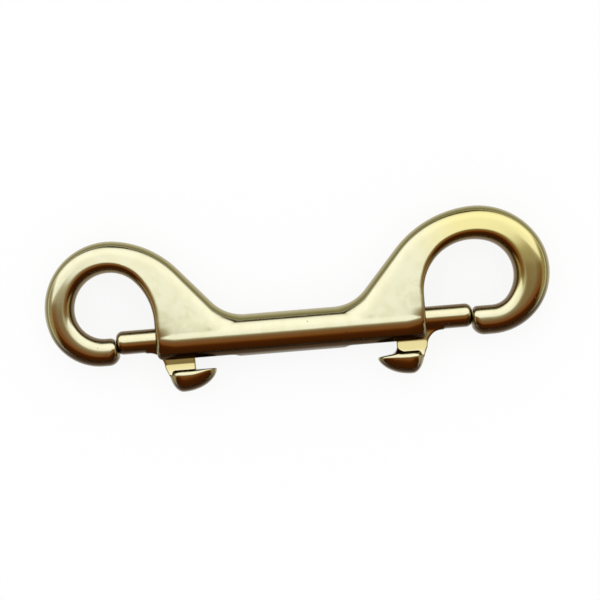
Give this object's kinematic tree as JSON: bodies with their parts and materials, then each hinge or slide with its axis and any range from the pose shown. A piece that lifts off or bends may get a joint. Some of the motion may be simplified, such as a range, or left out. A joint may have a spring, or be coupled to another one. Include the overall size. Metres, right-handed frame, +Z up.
{
  "type": "double ended bolt snap",
  "caption": "Cast brass snap hook with an open ring at each end of a round barrel, each ring closed by a spring loaded sliding bolt with a thumb lug.",
  "frame": {"origin": "under the middle of the part's outline, at the level of the surface that it lies on", "axes": "+X along the barrel towards the larger ring, +Y from the thumb lugs towards the rings, +Z up through the thickness"},
  "size_m": [0.0902, 0.0288, 0.0074],
  "materials": {
    "cast_brass": "cast and polished, bright, with softly rounded edges",
    "bolt_brass": "polished, bright, with fine rub marks along its length",
    "spring_steel": "drawn wire, plain"
  },
  "bodies": {
    "casting": {"body": "cast_brass", "left_spring": "spring_steel", "right_spring": "spring_steel"},
    "left_bolt": {"left_bolt": "bolt_brass"},
    "right_bolt": {"right_bolt": "bolt_brass"}
  },
  "joints": [
    {"name": "left_bolt_slide", "type": "slide", "parent": "casting", "child": "left_bolt", "axis": [1, 0, 0], "range_m": [0, 0.00705], "stiffness_N_per_m": 350, "springref_m": -0.005, "deforming": ["left_spring"]},
    {"name": "right_bolt_slide", "type": "slide", "parent": "casting", "child": "right_bolt", "axis": [-1, 0, 0], "range_m": [0, 0.00825], "stiffness_N_per_m": 350, "springref_m": -0.005, "deforming": ["right_spring"]}
  ]
}
